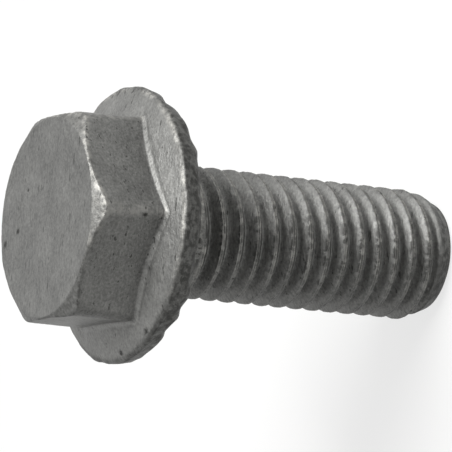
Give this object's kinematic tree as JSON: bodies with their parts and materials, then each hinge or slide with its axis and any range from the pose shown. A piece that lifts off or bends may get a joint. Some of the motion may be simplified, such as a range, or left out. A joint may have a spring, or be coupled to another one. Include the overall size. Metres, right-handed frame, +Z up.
{
  "type": "hexagon flange screw",
  "caption": "Hexagon head screw with a flange forged in one piece with the head, right-hand thread along the whole shank, hot-dip galvanised grey, standing on its end.",
  "frame": {"origin": "centre of the flat end of the thread, which the screw stands on", "axes": "+Z up along the screw's axis, from the thread's end to the head, +X square to two of the hexagon's flats"},
  "size_m": [0.0208, 0.0208, 0.0327],
  "materials": {
    "galvanised_steel": "hot-dip galvanised, dull grey, rough"
  },
  "bodies": {
    "root": {"flange_screw": "galvanised_steel"}
  },
  "joints": []
}
